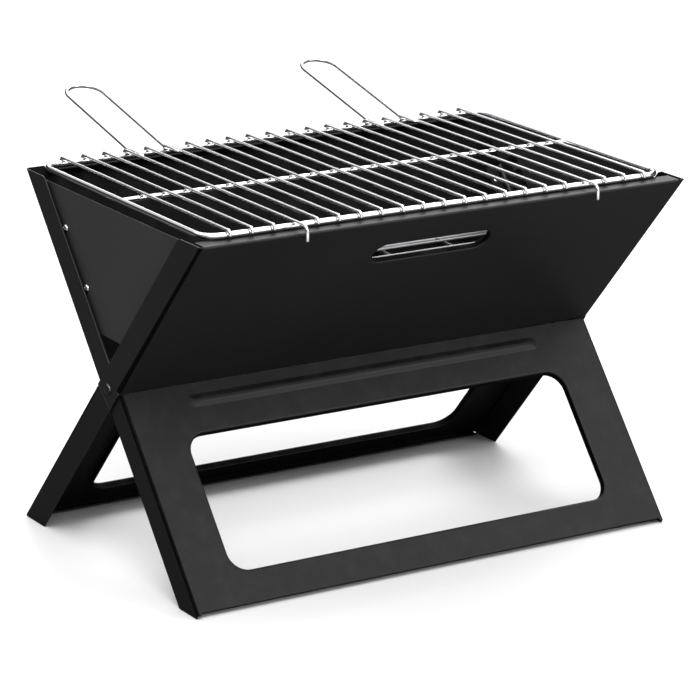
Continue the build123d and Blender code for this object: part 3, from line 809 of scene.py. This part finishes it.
def grate_hooks():
    """Two bars that run on past the front rail and turn down in front of the wall."""
    wires = Wires()
    rear, front = GRATE_MID + BAR_END, PIVOT_Y - HOOK_REACH
    for i in HOOK_BARS:
        x = BAR_X[i]
        path = fillet([(x, rear, RAIL_Z - 1.0), (x, rear, BAR_Z),
                       (x, front, BAR_Z), (x, front, HEIGHT - HOOK_DROP)], radius=5.0, steps=10)
        wires.sweep(subdivide(path, 16.0), BAR_RADIUS, sides=14, swell=0.10)
    return wires.build("grate_hook_pair", [CHROME])


def cross_rod():
    wires = Wires()
    ends = [Vector((x, GRATE_MID, RAIL_Z)) for x in (-GRATE_X, GRATE_X)]
    wires.sweep(subdivide(ends, 16.0), ROD_RADIUS)
    for way in (-1, 1):
        wires.weld((way * (GRATE_X - 0.6), GRATE_MID, RAIL_Z), (0, 1, 0), (3.0, 1.7, 1.9),
                   seed=300 + way)
    return wires.build("grate_cross_rod", [CHROME, WELD])


def handle_loop(tag, first_bar, last_bar):
    """Loop that rises to the rear, its ends welded along the inner sides of two bars."""
    wires = Wires()
    left, right = BAR_X[first_bar] + 2 * BAR_RADIUS, BAR_X[last_bar] - 2 * BAR_RADIUS
    rise_y, rise_z = cos(HANDLE_TILT), sin(HANDLE_TILT)
    start, kink = GRATE_MID + GRATE_Y - 22.0, GRATE_MID + GRATE_Y + 1.0
    tip_y, tip_z = kink + HANDLE_REACH * rise_y, BAR_Z + HANDLE_REACH * rise_z
    radius = (right - left) / 2
    centre = Vector(((left + right) / 2, tip_y - radius * rise_y, tip_z - radius * rise_z))
    arc = []
    for k in range(29):
        turn = pi * k / 28
        arc.append(centre + Vector((-cos(turn) * radius, sin(turn) * radius * rise_y,
                                    sin(turn) * radius * rise_z)))
    legs = [fillet([(x, start, BAR_Z), (x, kink, BAR_Z), end], radius=7.0)[:-1]
            for x, end in ((left, arc[0]), (right, arc[-1]))]
    path = legs[0] + arc + legs[1][::-1]
    wires.sweep(subdivide(path, 9.0), BAR_RADIUS + 0.25, swell=0.05)
    for k, (x, bar) in enumerate(((left, first_bar), (right, last_bar))):
        for y in (start + 3.5, start + 11.0, start + 18.5):
            wires.weld(((x + BAR_X[bar]) / 2, y, BAR_Z), (0, 1, 0), (2.4, 1.0, 1.15),
                       seed=400 + k * 10 + y)
    return wires.build("grate_handle_loop_" + tag, [CHROME, WELD])


for piece, node in ((grate_rail(), "grate_frame"), (grate_bars(), "grate_bars"),
                    (grate_hooks(), "grate_hook_bars"), (cross_rod(), "grate_support_rod"),
                    (handle_loop("left", 4, 6), "grate_handle_left"),
                    (handle_loop("right", 16, 18), "grate_handle_right")):
    hand_over(piece, "cooking_grate", node)

# ------------------------------------------------------------------ coal grate
COAL_Z, COAL_X = 207.0, 188.0
RIM_RADIUS, COAL_BAR_RADIUS, COAL_PITCH = 2.0, 1.4, 19.27
# the rim just fits between the walls at its height
COAL_Y = ((COAL_Z - PIVOT_Z) * TAN + (HALF_DEPTH - SHEET) / COS) - RIM_RADIUS / COS - 0.15
CROSS_BAR_X = (-124.0, -62.0, 0.0, 62.0, 124.0)


def coal_rim():
    wires = Wires()
    closed_rail(wires, COAL_X, COAL_Y, 9.0, steps=10, y=PIVOT_Y, z=COAL_Z,
                step=14.0, radius=RIM_RADIUS, sides=16)
    return wires.build("coal_rim", [ZINC, ZINC])


def coal_long_bars():
    wires = Wires()
    z = COAL_Z + RIM_RADIUS + COAL_BAR_RADIUS - SINK
    for k in range(6):
        y = PIVOT_Y + (k - 2.5) * COAL_PITCH
        ends = [Vector((-COAL_X - 2, y, z)), Vector((COAL_X + 2, y, z))]
        wires.sweep(subdivide(ends, 20.0), COAL_BAR_RADIUS, sides=12, swell=0.1)
        for x in (-COAL_X, *CROSS_BAR_X, COAL_X):
            wires.weld((x, y, z - 1.2), (1, 0, 0), (1.9, 1.5, 0.8), seed=500 + k * 20 + x / 10.0)
    return wires.build("coal_long_bars", [ZINC, ZINC])


def coal_cross_bars():
    wires = Wires()
    z = COAL_Z + RIM_RADIUS - COAL_BAR_RADIUS
    for x in CROSS_BAR_X:
        ends = [Vector((x, PIVOT_Y - COAL_Y, z)), Vector((x, PIVOT_Y + COAL_Y, z))]
        wires.sweep(subdivide(ends, 14.0), COAL_BAR_RADIUS, sides=12)
    return wires.build("coal_cross_bars", [ZINC])


for piece, node in ((coal_rim(), "coal_grate_frame"), (coal_long_bars(), "coal_grate_bars"),
                    (coal_cross_bars(), "coal_grate_cross_bars")):
    hand_over(piece, "coal_grate", node)


# ------------------------------------------------------------------ end plates, screws and bolts
PLATE_TOP, PLATE_BOTTOM, PLATE_CORNER = HEIGHT - 4.0, 184.0, 1.6
PLATE_REAR = -(HALF_DEPTH - SHEET) + 0.6        # depth of the plate's edge in each frame
PLATE_FRONT = (HALF_DEPTH - SHEET) - 19.3
SCREW_HOLE = 2.05                               # radius
# screw places, along the inner frame at one depth
SCREWS = [INNER.place(0, s, 10.3) / MM for s in (82.0, 135.0)]


def turned_head(name, centre, way, radius, height, shank_radius, shank_length, recess,
                material, segments):
    """Domed head with a rounded rim, a cross recess and a threaded shank, facing way along x."""
    dome_steps = 16
    axis = Vector((way, 0, 0))
    across = Vector((0, 1, 0))
    other = axis.cross(across)
    centre = Vector(centre)
    profile = []                    # radius, height along the axis
    for i in range(dome_steps + 1):
        turn = i / dome_steps * pi / 2
        profile.append((radius * 0.985 * sin(turn), height * (0.14 + 0.86 * cos(turn) ** 1.15)))
    profile += [(radius, height * 0.10), (radius, height * 0.04), (radius * 0.985, 0.0),
                (shank_radius, 0.0)]
    z = -0.2
    groove = 0.0
    while z > -shank_length:
        profile.append((shank_radius - groove, z))
        z -= 0.35
        groove = 0.22 - groove
    profile.append((shank_radius * 0.8, -shank_length))

    verts = [centre + axis * (profile[0][1] - recess)]
    rows = []
    arm_width, arm_reach = radius * 0.13, radius * 0.52
    for j, (ring_radius, z) in enumerate(profile[1:], start=1):
        row = []
        for i in range(segments):
            turn = 2 * pi * i / segments
            u, v = ring_radius * cos(turn), ring_radius * sin(turn)
            sunk = 0.0
            if j <= dome_steps:
                off_arm, reach = min(abs(u), abs(v)), max(abs(u), abs(v))
                within = max(0.0, min(1.0, (arm_width * 1.5 - off_arm) / (arm_width * 0.7)))
                inside = max(0.0, min(1.0, (arm_reach - reach) / (radius * 0.12)))
                sunk = recess * within * inside
            row.append(len(verts))
            verts.append(centre + axis * (z - sunk) + across * u + other * v)
        rows.append(row)
    faces = [[0, rows[0][i], rows[0][(i + 1) % segments]] for i in range(segments)]
    for first, second in zip(rows, rows[1:]):
        for i in range(segments):
            after = (i + 1) % segments
            faces.append([first[i], second[i], second[after], first[after]])
    faces.append(list(reversed(rows[-1])))
    ob = new_object(name, [v * MM for v in verts], faces, [material])
    face_outward(ob, sharp_angle=radians(50))
    return ob


def join(name, parts):
    """Merges several objects into one new object."""
    bm = bmesh.new()
    for part in parts:
        bm.from_mesh(part.data)
    mesh = bpy.data.meshes.new(name)
    bm.to_mesh(mesh)
    bm.free()
    joined = link_mesh(name, mesh, list(parts[0].data.materials))
    for part in parts:
        data = part.data
        bpy.data.objects.remove(part)
        bpy.data.meshes.remove(data)
    return joined


def end_plate(name, way):
    """Flat plate between the walls with two screw holes; local axes x, y from the pivot, z."""
    sheet = Sheet(lambda x, y, z: Vector((x, PIVOT_Y + y, z)) * MM)

    def corner_at(axes, z, n):
        return Vector((axes.lean * axes.along(z, n) * SIN - n * COS, z))

    corners = [corner_at(INNER, PLATE_TOP, PLATE_REAR), corner_at(INNER, PLATE_BOTTOM, PLATE_REAR),
               corner_at(OUTER, PLATE_BOTTOM, PLATE_FRONT), corner_at(OUTER, PLATE_TOP, PLATE_FRONT)]
    outline = []
    for k, corner in enumerate(corners):
        back = (corners[k - 1] - corner).normalized()
        ahead = (corners[(k + 1) % 4] - corner).normalized()
        angle = back.angle(ahead)
        cut = PLATE_CORNER / tan(angle / 2)
        centre = corner + (back + ahead).normalized() * (PLATE_CORNER / sin(angle / 2))
        start, end = corner + back * cut, corner + ahead * cut
        for i in range(6):
            ray = start.lerp(end, i / 5) - centre
            place = centre + ray.normalized() * PLATE_CORNER
            outline.append(sheet.point(way * PLATE_X, place.x, place.y))
    holes = [[sheet.point(way * PLATE_X,
                          screw.y - PIVOT_Y + SCREW_HOLE * cos(2 * pi * i / 24),
                          screw.z + SCREW_HOLE * sin(2 * pi * i / 24)) for i in range(24)]
             for screw in SCREWS]
    sheet.fill([outline] + holes, 1, 2)
    return sheet.build(name, [PLATE, EDGE_PAINTED_HIGHLIGHT_AND_WEAR], Vector((way, 0, 0)), edge=0.30)


for way, tag in ((-1, "left"), (1, "right")):
    plate = end_plate("end_plate_sheet_" + tag, way)
    hand_over(plate, "end_plate_" + tag, "end_plate_" + tag)
    heads = [turned_head("screw_%s_%d" % (tag, k), (way * PLATE_X, screw.y, screw.z), way,
                         radius=3.4, height=2.0, shank_radius=1.95, shank_length=5.0,
                         recess=0.75, material=FASTENER, segments=56)
             for k, screw in enumerate(SCREWS)]
    screws = join("plate_screw_pair_" + tag, heads)
    hand_over(screws, "end_plate_" + tag, "hinge_screws_" + tag)
    bolt = turned_head("pivot_bolt_" + tag + "_dome", (way * OUTER_X, PIVOT_Y, PIVOT_Z), way,
                       radius=4.8, height=2.6, shank_radius=2.95, shank_length=8.6,
                       recess=0.0, material=BOLT, segments=64)
    hand_over(bolt, "inner_frame", "pivot_bolt_" + tag)

# ------------------------------------------------------------------ CAD parts that stay
# part, finish, width of its softened edges
KEPT = (("hinge_wall_leaf_", HINGE, 0.18), ("hinge_plate_leaf_", HINGE, 0.18),
        ("hinge_pin_", FASTENER, 0.20), ("hinge_washer_", FASTENER, 0.10),
        ("hinge_nuts_", FASTENER, 0.20), ("hinge_rivets_", FASTENER, 0.12),
        ("pivot_washer_", FASTENER, 0.15), ("pivot_nut_", FASTENER, 0.30))
for tag in ("left", "right"):
    for part, material, width in KEPT:
        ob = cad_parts[part + tag]
        ob.data.materials.clear()
        ob.data.materials.append(material)
        modifier(ob, "weld", "WELD", merge_threshold=0.000005)
        modifier(ob, "edge", "BEVEL", width=width * MM, segments=2, limit_method="ANGLE",
                 angle_limit=radians(40))
        modifier(ob, "normals", "WEIGHTED_NORMAL", weight=60)


# ------------------------------------------------------------------ stage, in metres
def floor_material():
    """Pale floor that mirror-like reflections see as darker, as if beside black cards."""
    mat = Material("studio_floor")
    tone = mat.noise(scale=2.2, detail=3.0)
    mat.set(Base_Color=mat.mix(mat.remap(tone), (0.835, 0.835, 0.835), (0.855, 0.855, 0.855)),
            Roughness=mat.remap(mat.noise(scale=40.0, detail=3.0), to=(0.60, 0.70)),
            Specular_IOR_Level=0.25)
    rays = mat.node("ShaderNodeLightPath")
    card = mat.node("ShaderNodeBsdfDiffuse")
    geometry = mat.node("ShaderNodeNewGeometry")
    # the reflected floor turns pale again towards the front
    frontness = mat.remap(mat.axis(geometry.outputs["Position"], 1), span=(-0.35, -0.95))
    mat.feed(card.inputs["Color"], mat.mix(frontness, (0.085, 0.085, 0.085), (0.75, 0.75, 0.75)))
    seen = mat.node("ShaderNodeMixShader", {0: rays.outputs["Is Glossy Ray"],
                                            1: mat.surface.outputs[0], 2: card.outputs[0]})
    mat.feed(mat.output.inputs[0], seen.outputs[0])
    return mat.material


def build_floor(half=14.0, cells=14):
    material = floor_material()
    row = cells + 1
    verts = [(-half + 2 * half * i / cells, -half + 2 * half * j / cells, 0.0)
             for j in range(row) for i in range(row)]
    faces = [[j * row + i, j * row + i + 1, (j + 1) * row + i + 1, (j + 1) * row + i]
             for j in range(cells) for i in range(cells)]
    floor = new_object("studio_floor", verts, faces, [material])
    floor.location.z = -0.0002


def build_world():
    world = bpy.data.worlds.new("studio")
    scene.world = world
    sky = Nodes(world)
    output = sky.node("ShaderNodeOutputWorld")
    background = sky.node("ShaderNodeBackground", {"Color": (1.0, 1.0, 1.0, 1.0)})
    sky.feed(output.inputs[0], background.outputs[0])
    coords = sky.node("ShaderNodeTexCoord").outputs["Generated"]
    _, y, z = sky.node("ShaderNodeSeparateXYZ", {0: coords}).outputs

    def ramp(value, span, to):
        return sky.remap(value, span, to, kind="SMOOTHSTEP")

    plain = ramp(z, span=(0.22, 0.85), to=(0.16, 1.55))
    # mirror-like reflections see dark behind and low down, a pale wall in front, bright above
    front = sky.math("MULTIPLY", ramp(y, span=(-0.50, -0.78), to=(0.0, 1.0)),
                     ramp(z, span=(0.35, 0.75), to=(1.0, 0.0)))
    mirrored = sky.math("ADD", ramp(z, span=(0.34, 0.72), to=(0.03, 1.45)), front)
    rays = sky.node("ShaderNodeLightPath")
    strength = sky.node("ShaderNodeMix", {0: rays.outputs["Is Glossy Ray"],
                                          2: plain, 3: mirrored})
    sky.feed(background.inputs["Strength"], strength.outputs[0])


def area_light(name, place, target, size, power):
    light = bpy.data.lights.new(name, "AREA")
    light.shape = "RECTANGLE"
    light.size, light.size_y = size
    light.energy = power
    ob = bpy.data.objects.new(name, light)
    scene.collection.objects.link(ob)
    ob.location = place
    ob.rotation_mode = "QUATERNION"
    ob.rotation_quaternion = (Vector(target) - Vector(place)).to_track_quat("-Z", "Y")


def build_camera():
    """Looks at the grill from its front left, slightly above."""
    azimuth, elevation, roll = radians(-33.3466), radians(16.734), radians(1.3071)
    distance = 2.76721
    target = Vector((-1.0181, PIVOT_Y, 145.3728)) * MM
    back = Vector((sin(azimuth) * cos(elevation), -cos(azimuth) * cos(elevation),
                   sin(elevation)))
    level = (-back).cross(Vector((0, 0, 1))).normalized()
    upright = level.cross(-back)
    right = level * cos(roll) + upright * sin(roll)
    up = -level * sin(roll) + upright * cos(roll)
    place = target + back * distance
    data = bpy.data.cameras.new("camera")
    data.sensor_width = 36.0
    data.lens = 175.648114
    data.clip_start, data.clip_end = 0.1, 60.0
    camera = bpy.data.objects.new("camera", data)
    scene.collection.objects.link(camera)
    rows = [(right[k], up[k], back[k], place[k]) for k in range(3)]
    camera.matrix_world = Matrix(rows + [(0, 0, 0, 1)])
    scene.camera = camera


build_floor()
build_world()
area_light("key_softbox", place=(-0.9, -1.3, 1.9), target=(0, -0.05, 0.15),
           size=(1.3, 1.0), power=22.0)
area_light("top_softbox", place=(1.15, 0.95, 1.75), target=(0, -0.05, 0.15),
           size=(1.3, 1.0), power=16.0)
area_light("front_strip", place=(1.30, -1.72, 1.02), target=(0, -0.1, 0.13),
           size=(1.3, 0.55), power=8.5)
area_light("back_strip", place=(1.58, 2.35, 1.25), target=(0, -0.05, 0.28),
           size=(2.2, 0.5), power=12.0)
build_camera()
scene.view_settings.view_transform = "Standard"
scene.view_settings.look = "None"

bpy.context.view_layer.update()
